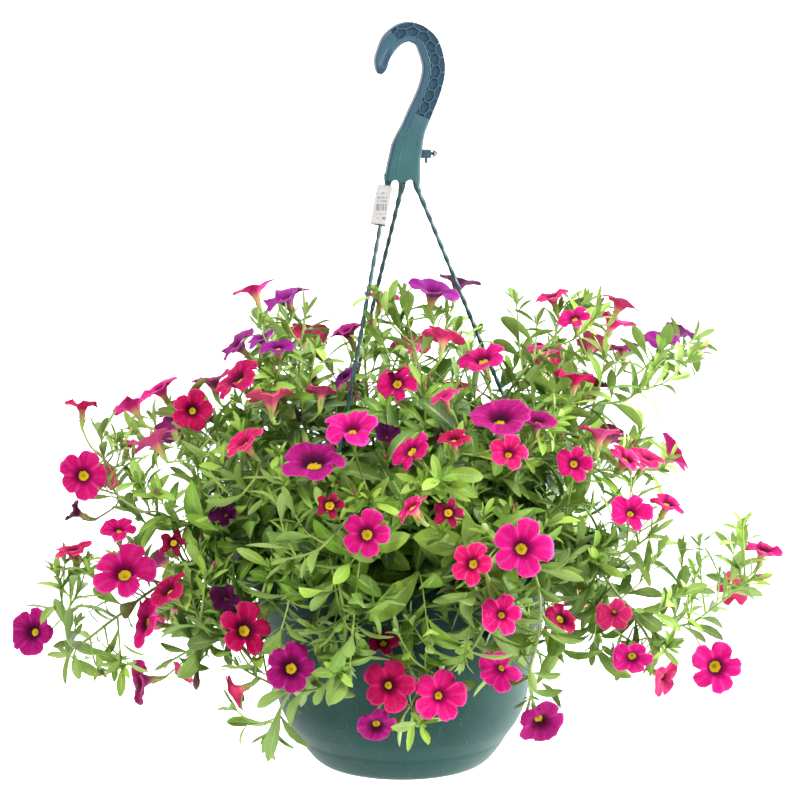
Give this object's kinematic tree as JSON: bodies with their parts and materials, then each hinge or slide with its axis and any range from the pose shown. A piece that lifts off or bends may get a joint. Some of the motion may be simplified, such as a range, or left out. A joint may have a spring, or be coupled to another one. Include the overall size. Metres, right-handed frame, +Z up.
{
  "type": "flowering hanging basket",
  "caption": "Round plastic hanging pot with a three-strand hook hanger, filled with a mounded and trailing plant of narrow leaves and many small trumpet blooms.",
  "frame": {"origin": "centre of the flat base of the pot", "axes": "+Z up the pot's axis to the hook it hangs from, -Y towards the front, +X to the right seen from the front, where one strand runs down to the rim"},
  "size_m": [0.5889, 0.4306, 0.565],
  "materials": {
    "foliage": "mid-green leaves, yellow-green stems and tips",
    "hanger_plastic": "blue-teal moulded plastic, satin",
    "label_paper": "off-white folded paper tag, bare of print",
    "petal_crimson": "crimson petals, nearly black at the eye",
    "petal_magenta": "magenta petals with a yellow throat",
    "petal_pink": "hot pink petals with a dark eye",
    "petal_purple": "dark purple-magenta petals",
    "petal_violet": "violet-pink petals",
    "pot_plastic": "mottled dark teal-green moulded plastic",
    "soil": "damp dark peat and bark potting mix"
  },
  "bodies": {
    "root": {"bloom_far_left": "petal_purple", "bloom_far_right": "petal_magenta", "bloom_front_centre": "petal_magenta", "bloom_front_left_crimson": "petal_crimson", "bloom_front_left_eyed": "petal_purple", "bloom_front_low_left": "petal_crimson", "bloom_front_low_right": "petal_magenta", "bloom_front_pink": "petal_pink", "bloom_front_right_side": "petal_magenta", "bloom_front_upper": "petal_magenta", "bloom_front_wide": "petal_purple", "bloom_left_broad": "petal_magenta", "bloom_left_crimson": "petal_crimson", "bloom_left_cup": "petal_crimson", "bloom_left_eyed": "petal_magenta", "bloom_left_fan": "petal_crimson", "bloom_left_hanging": "petal_purple", "bloom_left_side": "petal_magenta", "bloom_right_broad": "petal_magenta", "bloom_right_hanging": "petal_purple", "bloom_right_low_eyed": "petal_magenta", "bloom_right_pink_eyed": "petal_pink", "bloom_right_wide": "petal_purple", "bloom_top": "petal_violet", "bloom_top_left": "petal_violet", "bloom_top_right": "petal_magenta", "hanger_hook": "hanger_plastic", "hanger_strand_back_left": "hanger_plastic", "hanger_strand_front_left": "hanger_plastic", "hanger_strand_right": "hanger_plastic", "pot": "pot_plastic", "potting_soil": "soil", "price_label": "label_paper", "spray_back": "foliage", "spray_back_left": "foliage", "spray_back_left_low": "foliage", "spray_back_left_up": "foliage", "spray_back_low": "foliage", "spray_back_right": "foliage", "spray_back_right_low": "foliage", "spray_back_right_up": "foliage", "spray_back_up": "foliage", "spray_far_left": "foliage", "spray_front": "foliage", "spray_front_left": "foliage", "spray_front_left_up": "foliage", "spray_front_low": "foliage", "spray_front_right": "foliage", "spray_front_top": "foliage", "spray_left": "foliage", "spray_left_low": "foliage", "spray_left_up": "foliage", "spray_right": "foliage", "spray_right_low": "foliage", "spray_right_up": "foliage", "spray_top": "foliage", "spray_top_behind": "foliage", "spray_top_left": "foliage", "spray_upper_right": "foliage", "spray_upper_right_low": "foliage"}
  },
  "joints": []
}
